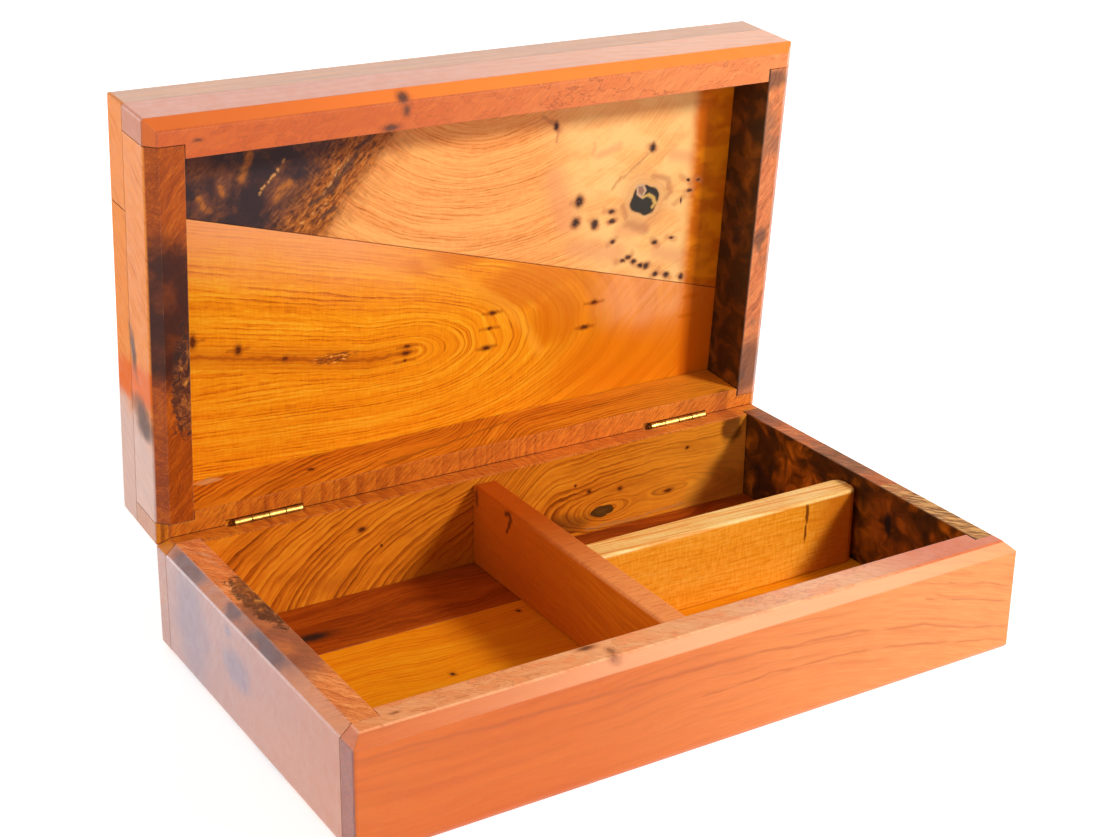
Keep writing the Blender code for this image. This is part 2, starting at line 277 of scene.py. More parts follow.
def sanded(s, colour, across, along, tone, share=0.3):
    """Fine lines left by sanding, some darker and some paler."""
    line = s.noise(s.at(across * 2.2, along / 6.0, s.z / 9.0), 1.0, 4.0, 0.75)
    pale = s.step(line, 0.50, 0.34, 0.0, share * 0.5)
    colour = s.mix(pale, colour, (1.0, 1.0, 1.0), "SOFT_LIGHT")
    return s.mix(s.step(line, 0.48, 0.66, 0.0, share * 0.9), colour, tone)


def from_rim(s):
    """Height above or below the rims."""
    return s.math("ABSOLUTE", s.z - RIM)


def underside(s, share=1.0):
    """The side of the lid's top that shows when the lid is open."""
    return s.step(s.z, 70.0, 64.0, 0.0, share)


def cut_end(s, colour, tone):
    """Duller wood where a board is cut across at its two ends."""
    cut = s.step(s.math("ABSOLUTE", s.x), CUT_END, CUT_END + 0.3)
    speck = s.step(s.noise(s.place, 0.7, 2.0), 0.3, 0.7, 0.6, 1.0)
    return s.mix(cut * speck, colour, tone)


def knots(s, colour, flat, ovals, halo=RUSSET, core=INK, reach=2.6, strength=0.7):
    """Small dark knots, each in a browner ring of wood."""
    rough = s.shaken(flat, 1.6, 0.6, 3.0)
    nearest = s.nearest(rough, ovals)
    colour = s.mix(s.step(nearest, reach, 0.9, 0.0, strength), colour, halo)
    mottled = s.step(s.noise(flat, 0.9, 2.0), 0.4, 0.65, 0.0, 0.25)
    return s.mix(s.step(nearest, 1.4, 0.45), colour, s.mix(mottled, core, halo))


def strokes(s, colour, flat, lines, tone, share=0.8):
    """Soft strokes, each from x, y to x, y with its half width."""
    least = None
    for x0, y0, x1, y1, width in lines:
        gone = s.line(flat, (x0, y0), (x1, y1)) / width
        least = gone if least is None else s.math("MINIMUM", least, gone)
    return s.mix(s.step(least, 1.4, 0.1, 0.0, share), colour, tone)


def push(s, g, flat, bumps):
    """Bends the rings round knots: each bump is x, y, across, up and its height in g."""
    for x, y, across, up, height in bumps:
        g = g + s.step(s.away(flat, (x, y), (across, up)), 1.0, 0.0, 0.0, height)
    return g


def front_board(s):
    """Orange board with long soft lines that fall away to the right, paler there."""
    flat = s.at(s.x, s.z)
    wave = s.noise(s.at(s.x / 90.0, s.z / 80.0), 1.0, 1.0) * 12.0
    fall = s.math("POWER", s.math("MAXIMUM", s.x + 10.0, 0.0) / 100.0, 2.0) * 13.0
    g = s.z + fall + wave + s.y * 0.5
    tones = ((0.0, (0.74, 0.165, 0.012)), (0.4, (0.66, 0.125, 0.008)),
             (0.8, (0.56, 0.09, 0.006)), (1.2, TAWNY))
    colour, height = grain(s, g, s.x, tones, 5.2, 0.18, 0.12, 0.14, 12.0, ripple=0.12)
    pale = s.step(s.x + s.noise(flat, 30.0) * 16.0, -70.0, 122.0, 0.0, 0.9)
    fine = s.noise(s.at(g * 1.6, s.x / 12.0), 1.0, 3.0, 0.6)
    light_wood = s.mix(s.step(fine, 0.3, 0.7), (0.94, 0.35, 0.095), (0.88, 0.27, 0.06))
    colour = s.mix(pale, colour, light_wood)
    lines = s.rings(g + s.noise(s.at(s.x / 3.0, s.z), 9.0) * 4.0, 4.6, 0.45)
    strength = s.step(s.noise(s.at(s.x / 3.0, s.z), 9.0, 1.0), 0.35, 0.62, 0.05, 0.32)
    upper = s.step(s.z + s.x * 0.05, 4.0, 30.0, 0.4, 1.0)
    colour = s.mix(lines * strength * upper, colour, (0.46, 0.09, 0.012))
    if s.base:
        drawn = [(-125.0, 34.5, -75.0, 32.5, 0.9), (-75.0, 32.5, 15.0, 29.7, 0.8),
                 (15.0, 29.7, 55.0, 25.8, 0.7), (55.0, 25.8, 85.0, 20.5, 0.7),
                 (85.0, 20.5, 123.0, 9.5, 0.7), (-5.0, 19.7, 23.0, 20.4, 0.6),
                 (23.0, 20.4, 55.0, 18.3, 0.6), (55.0, 18.3, 85.0, 13.5, 0.6),
                 (85.0, 13.5, 123.0, 4.5, 0.6), (85.0, 30.5, 123.0, 19.5, 0.5),
                 (95.0, 34.0, 123.0, 25.5, 0.5)]
        swaying = s.shaken(flat, 16.0, 1.5)
        colour = strokes(s, colour, swaying, drawn, (0.46, 0.085, 0.010), 0.5)
    bands = s.noise(s.at(g / 6.0, s.x / 70.0, 2.0), 1.0, 3.0)
    colour = s.mix(s.step(bands, 0.46, 0.66, 0.0, 0.12) * s.base, colour, (0.52, 0.09, 0.005))
    high = from_rim(s)
    rim = s.step(high, 0.9, 0.6)
    slope = s.step(high, 4.0, 3.6) - rim
    # Painted highlight: the base's chamfer below the rim is painted pale pink, most at the left
    # and middle.
    light = s.step(s.x, -130.0, 10.0) * s.step(s.x, 140.0, 60.0, 0.4, 1.0)
    colour = s.mix(slope * light * s.base * 0.75, colour, (1.0, 0.46, 0.22))
    ruddy = s.mix(s.step(s.x, 10.0, -120.0, 0.0, 0.8), (1.0, 0.22, 0.008), (0.60, 0.10, 0.003))
    colour = s.mix(slope * s.lid * 0.85, colour, ruddy)
    cloud = s.noise(s.shaken(s.at(s.x / 2.6, s.y), 6.0, 4.0), 7.0, 4.0, 0.6)
    soft = s.mix(s.step(cloud, 0.38, 0.64), (1.0, 0.48, 0.21), (1.0, 0.35, 0.125))
    colour = s.mix(rim * s.base * s.step(light, 0.0, 1.0, 0.65, 0.95), colour, soft)
    right_rim = rim * s.base * s.step(s.x, 45.0, 100.0, 0.0, 0.9)
    colour = s.mix(right_rim, colour, (0.70, 0.115, 0.008))
    tinge = s.mix(s.step(s.x, -100.0, 130.0), (0.56, 0.085, 0.004), (0.82, 0.205, 0.04))
    colour = s.mix(rim * s.lid * s.step(cloud, 0.40, 0.60, 0.5, 0.95), colour, tinge)
    smooth = sanded(s, colour, s.x + s.y, s.x - s.y, (0.40, 0.07, 0.015), 0.45)
    colour = s.mix(rim, colour, smooth)
    # Painted reflection: the lid's outer front face is painted a pale pink veil, the white
    # surround mirrored.
    outside = s.step(s.y, -74.3, -74.6) * s.step(s.z, 45.0, 45.6)
    colour = s.mix(outside * 0.2, colour, (0.90, 0.66, 0.58))
    veins = s.step(s.math("ABSOLUTE", cloud - 0.52), 0.016, 0.003)
    veined = s.step(s.noise(s.at(s.x, s.y), 26.0), 0.42, 0.58, 0.0, 0.3)
    veined = veined + s.lid * s.step(s.x, -50.0, -20.0, 0.0, 0.25)
    colour = s.mix(rim * veins * veined, colour, RUSSET)
    # Painted reflection: a greyish pink veil painted along the lid's board near its top edge.
    grey = s.away(s.shaken(flat, 16.0, 6.0), (-30.0, 70.0), (70.0, 9.0))
    colour = s.mix(s.step(grey, 1.5, 0.4, 0.0, 0.16), colour, PAINTED_VEIL_TONE)
    dots = [(-36.4, -72.4, 42.5, 2.0, 1.8, 2.2), (-35.5, -68.0, 42.5, 1.4, 2.0, 1.5),
            (-41.0, -62.8, 42.5, 2.8, 1.2, 3.0), (-108.0, -66.9, 42.5, 1.6, 0.6, 1.5)]
    colour = knots(s, colour, s.place, dots, strength=0.5, core=UMBER, reach=2.2)
    return cut_end(s, colour, s.mix(s.lid, (0.25, 0.10, 0.095), (0.46, 0.12, 0.035))), height


def back_board(s):
    """Board with steep dark lines at the left and ringed ovals at the right."""
    flat = s.at(s.x, s.z)
    soft = s.shaken(flat, 20.0, 1.7)
    ovals = s.away(soft, (76.8, 16.9), (5.4, 1.0))
    ovals = push(s, ovals, flat, [(47.5, 15.1, 18.0, 9.0, -6.5)])
    steep = s.away(soft, (40.0, -5.0), (2.2, 1.0))
    at_right = s.step(s.x, -12.0, 28.0)
    g = at_right * ovals + (1.0 - at_right) * steep
    g = push(s, g, flat, [(-10.0, 2.0, 20.0, 24.0, 6.0), (-53.9, 31.5, 8.0, 5.0, 1.2)])
    tones = ((0.0, (0.82, 0.28, 0.014)), (0.4, (0.69, 0.185, 0.007)), (0.8, (0.45, 0.10, 0.004)),
             (1.2, (0.20, 0.038, 0.002)))
    colour, height = grain(s, g, s.x, tones, 1.75, 0.7, 0.6, 0.46, 7.0)
    colour = s.mix(s.step(s.x, 40.0, 86.0, 0.0, 0.35), colour, (0.94, 0.36, 0.025))
    # Painted light: the base's back wall is lightened in a slanted band at its right end, over the
    # right board's cast shadow.
    bright = s.step(s.x - s.z * 0.9, 68.0, 84.0, 0.0, 0.5)
    colour = s.mix(bright * s.base, colour, (1.0, 0.44, 0.05))
    patchy = s.noise(s.at(s.x / 30.0, s.z / 9.0, 4.0), 1.0, 3.0)
    colour = s.mix(s.step(patchy, 0.46, 0.70, 0.0, 0.4), colour, (0.42, 0.095, 0.004))
    # Painted shadow: the back wall is darker left of the cross divider, where the divider's shadow
    # falls.
    painted_divider_shade = s.step(s.away(flat, (-18.0, 17.0), (22.0, 15.0)), 1.2, 0.3, 0.0, 0.2)
    colour = s.mix(painted_divider_shade, colour, (0.24, 0.045, 0.002))
    sap = s.away(s.shaken(flat, 5.0, 1.5), (-100.0, 59.6), (5.5, 2.0))
    colour = s.mix(s.step(sap, 1.2, 0.6, 0.0, 0.55), colour, (0.80, 0.50, 0.20))
    smoky = s.away(s.shaken(flat, 8.0, 3.0), (31.0, 13.0), (13.0, 5.0))
    colour = s.mix(s.step(smoky, 1.3, 0.3, 0.0, 0.6), colour, UMBER)
    slot = s.away(s.shaken(flat, 4.0, 0.8), (46.6, 15.1), (5.2, 2.2))
    colour = s.mix(s.step(slot, 1.12, 0.95, 0.0, 0.95), colour, (0.07, 0.028, 0.005))
    colour = s.mix(s.step(slot, 0.7, 0.1, 0.0, 0.5), colour, (0.16, 0.07, 0.010))
    dots = [(-53.9, 31.5, 1.5, 1.0), (40.6, 24.5, 0.9, 0.8), (54.6, 22.6, 1.0, 0.9),
            (76.8, 16.9, 1.8, 0.7), (85.2, 32.9, 0.9, 0.6), (-46.4, 23.5, 0.5, 0.5),
            (-64.4, 52.4, 1.3, 1.0), (34.6, 28.3, 0.6, 0.5)]
    colour = knots(s, colour, flat, dots, strength=0.55, core=UMBER, reach=2.2)
    lid_line = [(-38.0, 45.5, -10.0, 49.5, 1.0), (-10.0, 49.5, 17.0, 55.7, 0.8)]
    swaying = s.shaken(flat, 8.0, 1.0)
    colour = strokes(s, colour, swaying, lid_line, (0.28, 0.07, 0.006), 0.6)
    dark = s.away(s.shaken(flat, 5.0, 2.0), (106.0, 37.0), (5.0, 6.0))
    colour = s.mix(s.step(dark, 1.3, 0.7, 0.0, 0.85), colour, UMBER)
    frayed = s.shaken(flat, 5.0, 1.2)
    streak = [(40.0, 9.0, 62.0, 8.6, 0.9), (62.0, 8.6, 84.0, 10.0, 0.7)]
    colour = strokes(s, colour, frayed, streak, (0.42, 0.20, 0.07), 0.45)
    rim = s.step(from_rim(s), 0.9, 0.6)
    rim_tone = s.mix(s.step(s.x, -60.0, 60.0), (0.56, 0.12, 0.014), (0.90, 0.22, 0.04))
    colour = s.mix(rim * 0.5, colour, rim_tone)
    smooth = sanded(s, colour, s.x + s.y, s.x - s.y, (0.20, 0.035, 0.006), 0.85)
    colour = s.mix(rim, colour, smooth)
    return cut_end(s, colour, s.mix(s.lid, (0.64, 0.46, 0.44), (0.66, 0.40, 0.32))), height


def right_board(s):
    """Dark burl inside, redder at its rims and outer face."""
    cloud = s.noise(s.shaken(s.place, 16.0, 9.0, 2.0), 11.0, 4.0, 0.55, 0.6)
    bright = 0.8 if s.lid else 1.9
    burl = ((0.30, (0.018, 0.007, 0.003)), (0.46, (0.045, 0.013, 0.002)),
            (0.58, (0.13, 0.034, 0.002)), (0.74, (0.30, 0.085, 0.006)))
    inner = s.ramp(cloud, [(stop, tuple(part * bright for part in tone)) for stop, tone in burl])
    side = s.shaken(s.at(s.y, s.z), 7.0, 2.0)
    eyes = (((-22.0, 28.0), (12.0, 10.5), 0.7), ((-41.5, 30.0), (6.0, 6.0), 0.45),
            ((2.4, 52.4), (6.0, 6.0), 0.4))
    for centre, radii, share in eyes:
        eye = s.away(side, centre, radii) + (cloud - 0.5) * 1.2
        ring = s.step(eye, 1.25, 0.75) * s.step(eye, 0.2, 0.55)
        ring = ring * s.step(cloud, 0.36, 0.58, 0.25, 1.0) * share
        inner = s.mix(ring, inner, (0.30, 0.072, 0.008))
    pupil = s.away(s.shaken(s.at(s.y, s.z), 4.0, 1.4), (-22.0, 28.5), (2.0, 4.4))
    inner = s.mix(s.step(pupil, 1.4, 0.6), inner, INK)
    outer = s.step(s.x, 113.7, 114.4)
    lean = s.x + s.z
    g = lean * 0.7 + s.y * 0.5 + s.noise(s.place, 20.0, 2.0) * 16.0
    tones = ((0.0, (0.84, 0.28, 0.08)), (0.4, (0.70, 0.18, 0.048)),
             (0.8, (0.42, 0.10, 0.025)), (1.2, (0.16, 0.045, 0.015)))
    red, height = grain(s, g, s.y, tones, 2.6, 0.3, 0.5, 0.45 if s.lid else 0.6, 10.0)
    pools = s.noise(s.shaken(s.place, 10.0, 4.0), 15.0, 3.0)
    red = s.mix(s.step(pools, 0.48, 0.62, 0.0, 0.5), red, (0.17, 0.085, 0.045))
    spots = [(117.0, 54.0, 41.6, 9.0, 12.0, 9.0), (117.0, 0.5, 41.6, 3.0, 5.0, 4.0),
             (117.0, -22.0, 45.0, 2.5, 3.0, 3.0), (117.0, -62.0, 43.0, 7.0, 4.0, 6.0)]
    spotted = s.step(s.nearest(s.shaken(s.place, 6.0, 3.0), spots), 1.3, 0.6, 0.0, 0.7)
    red = s.mix(spotted * s.lid, red, (0.045, 0.024, 0.014))
    olive = s.away(s.at(s.y, s.z), (-46.0, 40.0), (28.0, 9.0)) + (cloud - 0.5) * 2.0
    olive = s.step(olive, 1.1, 0.7)
    slant = s.noise(s.at((s.y + lean * 1.2) / 1.7, (lean - s.y) / 12.0), 1.0, 3.0, 0.65)
    gold = s.ramp(slant, ((0.36, (0.075, 0.048, 0.018)), (0.48, (0.46, 0.20, 0.055)),
                          (0.59, (0.98, 0.52, 0.16))))
    mossy = s.away(s.at(s.y, s.x), (10.0, 119.0), (17.0, 6.0)) + (cloud - 0.5) * 2.0
    mossy = s.step(mossy, 1.2, 0.6)
    dusky = s.away(s.at(s.y, s.x), (62.0, 118.0), (16.0, 8.0)) + (cloud - 0.5) * 1.5
    dusky = s.step(dusky, 1.2, 0.6, 0.0, 0.55)
    red = s.mix(s.step(slant, 0.42, 0.62, 0.0, 0.55) * s.base, red, (0.34, 0.14, 0.06))
    red = s.mix(mossy * s.base * s.step(slant, 0.60, 0.44, 0.15, 0.8), red, (0.12, 0.085, 0.045))
    red = s.mix(dusky * s.base, red, (0.14, 0.060, 0.030))
    red = s.mix(olive * s.base * 0.9, red, gold)
    red = sanded(s, red, s.x + s.y, s.x - s.y, (0.16, 0.05, 0.02), 0.5 if s.lid else 0.7)
    return s.mix(outer, inner, red), height


def left_side(s):
    """The box's left side: orange above, with dusky pools, a painted pale reflection lower down
    and a deep orange streak where that painted reflection is missing.
    """
    flat = s.at(s.y, s.z)
    slant = s.noise(s.at((s.y + s.z * 0.7) / 2.2, (s.z - s.y) / 24.0), 1.0, 4.0, 0.6)
    warm = s.ramp(slant, ((0.3, (0.72, 0.19, 0.020)), (0.5, (0.86, 0.27, 0.050)),
                          (0.7, (0.68, 0.165, 0.018))))
    # Painted reflection: the base's face is a pale pink-lavender veil over its wood, the white
    # surround mirrored.
    painted_veil = s.ramp(slant, ((0.3, (0.42, 0.17, 0.14)), (0.5, (0.42, 0.155, 0.12)),
                           (0.7, (0.37, 0.13, 0.11))))
    edge = s.noise(s.at(s.y / 9.0 - s.z / 12.0, s.z / 30.0), 1.0, 4.0, 0.6)
    lower = s.step(s.y + s.z * 0.3 + (edge - 0.5) * 20.0, 36.0, 58.0)
    # Painted reflection: the lid's lower face is painted pale pink; the deep orange streak is
    # where that painted reflection breaks off.
    beside = s.math("ABSOLUTE", s.y - (s.z - 60.0) * 0.15 - 20.0 + (slant - 0.5) * 8.0)
    glow = s.step(beside, 9.5, 4.0)
    painted_haze = s.ramp(slant, ((0.35, (0.74, 0.47, 0.38)), (0.65, (0.64, 0.41, 0.35))))
    lid_face = s.mix(lower, warm, painted_haze)
    lid_face = s.mix(glow * 0.95, lid_face, (0.76, 0.13, 0.002))
    pale = s.step(s.y, 20.0, -66.0, 0.0, 0.9)
    low = s.step(s.away(flat, (-30.0, 4.0), (60.0, 22.0)), 1.2, 0.3, 0.0, 0.55)
    painted_veil = s.mix(low, s.mix(pale, painted_veil, (0.50, 0.125, 0.030)), (0.60, 0.19, 0.075))
    face = s.mix(s.lid, painted_veil, lid_face)
    pools = [(46.0, 22.0, 12.0, 16.0), (8.0, 23.0, 9.0, 6.0), (30.0, 53.0, 5.0, 8.0),
             (8.0, 59.5, 8.0, 3.0), (14.0, 34.5, 3.5, 2.0)]
    dark = s.nearest(s.shaken(flat, 14.0, 7.0), pools)
    tone = s.mix(s.lid, (0.085, 0.070, 0.17), (0.09, 0.036, 0.024))
    return s.mix(s.step(dark, 1.7, 0.4, 0.0, 0.92 if s.lid else 0.6), face, tone)


def left_board(s):
    """Orange board with a purple-brown middle and black and gold burl near its rims."""
    g = s.z * 0.8 + s.y * 0.35 + s.noise(s.place, 40.0, 2.0) * 16.0 + s.x * 0.6
    if s.lid:
        tones = ((0.0, (0.50, 0.10, 0.004)), (0.4, (0.39, 0.065, 0.002)),
                 (0.8, (0.26, 0.04, 0.001)), (1.2, RUSSET))
        dusk = ((0.3, (0.022, 0.005, 0.003)), (0.5, (0.040, 0.007, 0.003)),
                (0.72, (0.14, 0.026, 0.004)))
    else:
        tones = ((0.0, (1.0, 0.36, 0.11)), (0.4, (0.90, 0.25, 0.06)),
                 (0.8, (0.66, 0.16, 0.04)), (1.2, (0.34, 0.075, 0.02)))
        dusk = ((0.3, (0.15, 0.052, 0.036)), (0.5, (0.27, 0.085, 0.050)),
                (0.72, (0.54, 0.155, 0.05)))
    colour, height = grain(s, g, s.y, tones, 3.4, 0.3, 0.6, 0.7, 14.0, s.x)
    colour = sanded(s, colour, s.y + s.x * 1.5, s.y - s.x, (0.24, 0.04, 0.006), 0.8)
    grey = s.noise(s.at(s.y / 3.0 + s.x / 2.0, s.x / 6.0), 1.0, 4.0, 0.65)
    grey = s.step(grey, 0.50, 0.70, 0.0, 0.6)
    colour = s.mix(grey * s.base * s.step(s.y, -30.0, 10.0), colour, (0.72, 0.42, 0.22))
    edge = s.noise(s.at(s.y / 9.0 - s.z / 12.0, s.z / 30.0, s.x / 8.0), 1.0, 4.0, 0.6)
    middle = s.math("ABSOLUTE", s.y + 11.0) + edge * 16.0 + from_rim(s) * 0.4
    middle = s.step(middle, 40.0, 26.0)
    colour = s.mix(middle * (0.95 if s.lid else 0.8), colour, s.ramp(edge, dusk))
    cloud = s.noise(s.shaken(s.place, 6.0, 4.0, 3.0), 4.0, 5.0, 0.68, 0.8)
    mottled = s.ramp(cloud, ((0.32, INK), (0.46, (0.05, 0.016, 0.010)), (0.56, (0.28, 0.08, 0.02)),
                             (0.66, GILT), (0.76, (0.70, 0.36, 0.09))))
    patch = s.away(s.at(s.y, s.z, s.x), (16.0, RIM, -113.5), (19.0, 13.0, 5.5))
    colour = s.mix(s.step(patch + (cloud - 0.5) * 2.2, 1.1, 0.8, 0.0, 0.85), colour, mottled)
    slope = s.step(s.x, -120.9, -121.6)
    bruises = [(50.0, -122.5, 12.0, 3.4), (15.0, -122.5, 5.0, 1.8), (-12.0, -122.5, 13.0, 2.6)]
    bruised = s.step(s.nearest(s.shaken(s.at(s.y, s.x), 7.0, 3.0), bruises), 1.4, 0.6, 0.0, 0.75)
    ruddy = s.mix(s.step(s.y, -10.0, -50.0), (0.40, 0.115, 0.045), (0.70, 0.24, 0.09))
    colour = s.mix(slope * s.base * 0.7, colour, ruddy)
    colour = s.mix(slope * bruised * s.base, colour, (0.060, 0.028, 0.045))
    return s.mix(s.step(s.x, LEFT_FACE, LEFT_FACE - 0.6), colour, left_side(s)), height


def panel_back(s):
    """Bright board of the lid's top: long ovals round the end of a dark seam."""
    flat = s.at(s.x, s.y)
    past = s.math("MAXIMUM", s.x + 22.0, 0.0)
    before = s.math("MINIMUM", s.x + 38.0, 0.0)
    seam = s.y - 30.0 - before * 0.205
    above, below = s.step(seam, -2.0, -42.0), s.step(seam, 0.0, 18.0)
    off = seam + before * (below * 0.13 + above * 0.205)
    off = off - s.math("MINIMUM", s.x - 5.0, 0.0) * above * 0.24
    g = s.vector("LENGTH", s.shaken(s.at(past / 2.2, off), 14.0, 1.0), output="Value")
    g = push(s, g, flat, [(12.0, 27.5, 10.0, 8.0, 1.3), (55.0, 29.0, 9.0, 7.0, 1.3)])
    tones = ((0.0, (0.95, 0.42, 0.018)), (0.35, HONEY), (0.75, AMBER), (1.2, (0.47, 0.095, 0.002)))
    colour, height = grain(s, g, s.x, tones, 1.25, 0.6, 0.5, 0.55, 5.0, s.z, 0.5)
    calm = s.step(g, 22.0, 34.0) * s.step(s.x, 16.0, 60.0)
    broad = s.noise(s.at(g / 3.0, s.x / 60.0, 8.0), 1.0, 3.0)
    calm_tone = s.mix(s.step(broad, 0.35, 0.65), (0.87, 0.26, 0.006), (0.66, 0.155, 0.002))
    colour = s.mix(calm * 0.75, colour, calm_tone)
    loose = s.shaken(flat, 9.0, 2.0)
    deep = s.nearest(loose, [(26.0, 12.0, 22.0, 10.0), (40.0, 27.0, 13.0, 13.0),
                             (-8.0, -3.0, 20.0, 4.0)])
    colour = s.mix(s.step(deep, 1.2, 0.5, 0.0, 0.7), colour, (0.70, 0.155, 0.001))
    arc = [(-16.0, -4.0, 2.0, 7.5, 2.6), (2.0, 7.5, 13.0, 15.0, 2.8),
           (13.0, 15.0, 22.0, 22.5, 3.0), (22.0, 22.5, 28.5, 31.0, 3.0),
           (28.5, 31.0, 33.8, 40.0, 2.8)]
    colour = strokes(s, colour, loose, arc, (1.0, 0.42, 0.03), 0.42)
    rosy = s.y - s.x * 0.27 + (s.noise(flat, 16.0, 3.0) - 0.5) * 12.0
    rosy = s.step(rosy, 24.0, -10.0, 0.0, 0.75)
    colour = s.mix(rosy * s.step(s.x, 10.0, -50.0, 0.15, 1.0), colour, (0.94, 0.39, 0.17))
    sheen = s.noise(s.at((s.x + s.y) / 3.0, (s.x - s.y) / 26.0, 5.0), 1.0, 3.0)
    # Painted reflection: a pale pink patch with diagonal streaks towards the board's right corner.
    corner = s.step(s.away(loose, (86.0, 19.0), (30.0, 25.0)), 1.2, 0.5, 0.0, 0.7)
    colour = s.mix(corner * s.step(sheen, 0.35, 0.6, 0.55, 1.0), colour, (0.94, 0.38, 0.15))
    wander = (s.noise(flat, 6.0, 3.0) - 0.5) * 3.5
    line = s.step(s.math("ABSOLUTE", seam + wander), 1.1, 0.1)
    colour = s.mix(line * s.step(s.x, -20.0, -32.0) * 0.8, colour, RUSSET)
    glow = s.step(s.math("ABSOLUTE", seam + wander), 7.0, 0.5) * s.step(s.x, -10.0, -40.0)
    colour = s.mix(glow * 0.5, colour, (0.56, 0.12, 0.003))
    bark = s.step(s.away(s.shaken(flat, 3.0, 1.5), (-51.0, 26.5), (10.0, 2.6)), 1.1, 0.4)
    flaky = s.noise(s.at(s.x / 2.4, s.y / 0.8), 1.0, 3.0)
    colour = s.mix(bark * s.step(flaky, 0.42, 0.60), colour, (0.20, 0.05, 0.01))
    colour = s.mix(bark * s.step(flaky, 0.42, 0.32, 0.0, 0.8), colour, (0.95, 0.50, 0.12))
    dots = [(12.9, 20.7, 1.4, 0.75), (11.8, 26.7, 0.8, 0.45), (10.8, 34.3, 1.6, 0.85),
            (57.1, 24.3, 1.2, 0.8), (53.4, 33.8, 1.7, 0.75), (-22.2, 27.6, 1.2, 0.6),
            (-22.6, 30.0, 1.7, 0.8), (-23.0, 33.1, 0.6, 0.5), (-87.1, 16.8, 1.1, 1.6),
            (-103.4, 10.7, 1.1, 2.2), (-69.9, 23.3, 1.1, 0.8), (102.8, 29.3, 1.9, 0.8),
            (101.5, 37.4, 1.9, 0.7)]
    drawn = [(x - 4.0, y, x + 4.0, y, 0.8) for x, y, _, _ in dots]
    colour = strokes(s, colour, s.shaken(flat, 3.0, 0.6), drawn, (0.40, 0.075, 0.003), 0.55)
    colour = knots(s, colour, flat, dots, (0.36, 0.065, 0.003), UMBER, 2.4, 0.6)
    low = s.step(s.away(loose, (80.0, 49.0), (44.0, 17.0)), 1.15, 0.4, 0.0, 0.65)
    colour = s.mix(low, colour, (0.80, 0.18, 0.001))
    # Painted shadow: a deep golden band on the underside at the right, where the lid's right board
    # shades it.
    painted_wall_shadow = s.step(s.x + (sheen - 0.5) * 6.0, 95.0, 101.0) * underside(s, 0.9)
    colour = s.mix(painted_wall_shadow, colour, (0.74, 0.15, 0.0015))
    return s.mix(s.step(s.x, TOP_LEFT, TOP_LEFT - 1.0), colour, left_side(s)), height


def burl_corner(s, flat, shore):
    """Dark burl in a corner of the board: dusky pools, brown clouds and a golden shore."""
    bent = s.shaken(flat, 6.0, 2.2, 4.0)
    cloud = s.noise(s.shaken(flat, 8.0, 4.0, 3.0), 7.0, 5.0, 0.62)
    fine = s.shaken(s.at((s.x + s.y) / 1.6, (s.x - s.y) / 5.0), 1.2, 0.6)
    fine = s.noise(fine, 1.0, 4.0, 0.65)
    share = cloud * 0.7 + fine * 0.3
    dark = s.ramp(share, ((0.38, (0.030, 0.018, 0.020)), (0.48, (0.060, 0.030, 0.028)),
                          (0.56, (0.12, 0.045, 0.028)), (0.68, (0.24, 0.080, 0.030))))
    brown = s.nearest(bent, [(-100.0, -50.0, 6.0, 4.5), (-91.5, -44.5, 3.6, 6.0),
                             (-70.5, -38.5, 7.0, 4.6), (-98.5, -37.0, 3.2, 4.4),
                             (-66.0, -30.5, 6.0, 2.6)])
    shaded = s.ramp(fine, ((0.32, (0.10, 0.038, 0.028)), (0.52, (0.20, 0.072, 0.038)),
                           (0.70, (0.32, 0.12, 0.045))))
    dark = s.mix(s.step(brown + (fine - 0.5), 1.35, 0.45, 0.0, 0.85), dark, shaded)
    pool = s.nearest(bent, [(-77.5, -47.0, 4.5, 6.0), (-82.0, -35.0, 4.4, 7.0),
                            (-103.0, -41.5, 2.5, 3.0), (-86.0, -30.0, 9.0, 3.0),
                            (-60.5, -42.5, 6.0, 2.4), (-70.0, -51.0, 6.0, 2.6)])
    pool = s.step(pool + (cloud - 0.5) * 1.2, 1.25, 0.6, 0.0, 0.9)
    dark = s.mix(pool, dark, (0.040, 0.024, 0.026))
    golden = s.ramp(fine, ((0.36, (0.09, 0.026, 0.013)), (0.48, (0.34, 0.090, 0.013)),
                           (0.62, (0.66, 0.21, 0.035))))
    dark = s.mix(shore, dark, golden)
    glows = [(-82.3, -53.0, -85.0, -44.5, 1.8), (-68.5, -40.0, -73.0, -35.8, 1.9),
             (-100.3, -40.3, -97.0, -34.5, 1.2), (-92.8, -42.5, -92.0, -40.0, 1.2)]
    shown = s.step(fine, 0.36, 0.56, 0.35, 1.0)
    dark = s.mix(shown, dark, strokes(s, dark, bent, glows, (0.50, 0.16, 0.03), 0.85))
    beads = s.step(s.noise(flat, 1.5, 1.0), 0.40, 0.60, 0.1, 0.9)
    streak = s.line(bent, (-69.3, -49.5), (-78.7, -38.0))
    for start, end in (((-46.0, -47.0), (-57.0, -34.0)), ((-54.5, -31.8), (-59.3, -28.8)),
                       ((-59.3, -28.8), (-63.2, -26.0))):
        streak = s.math("MINIMUM", streak, s.line(bent, start, end))
    return s.mix(s.step(streak, 0.9, 0.15) * beads, dark, (0.68, 0.32, 0.10))


